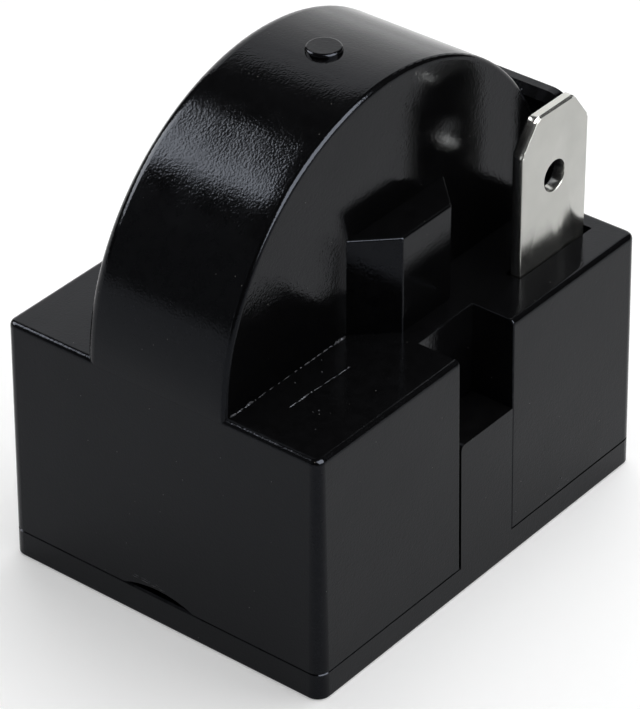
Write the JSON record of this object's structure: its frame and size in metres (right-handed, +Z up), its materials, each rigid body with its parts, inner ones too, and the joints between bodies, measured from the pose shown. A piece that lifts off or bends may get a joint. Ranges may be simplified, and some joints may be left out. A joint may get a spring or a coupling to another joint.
{
  "type": "compressor start relay",
  "caption": "Plug-on PTC start relay for a small refrigeration compressor: black moulded case with a half-round dome, pin sockets underneath and a flat blade terminal.",
  "frame": {"origin": "centre of the underside of the base plate, which is the face that lies against the compressor", "axes": "+Z up out of the underside towards the dome; X along the long side; the keyway, the key and the blade face -Y; the dome's axis runs along Y"},
  "size_m": [0.03, 0.023, 0.0311],
  "materials": {
    "case": "glossy black moulding",
    "plate": "glossy black moulding",
    "ceramic": "fired ceramic with a silvered face",
    "brass": "bright rolled strip",
    "tinned": "tin plated strip",
    "spring_steel": "bright spring strip",
    "rivet": "plated"
  },
  "bodies": {
    "root": {"housing": "case", "base_plate": "plate", "ptc_disc": "ceramic", "run_socket": "brass", "start_socket": "brass", "run_socket_clip": "spring_steel", "start_socket_clip": "spring_steel", "spade_terminal": "tinned", "run_spring": "spring_steel", "start_spring": "spring_steel", "run_rivet": "rivet", "start_rivet": "rivet"}
  },
  "joints": []
}
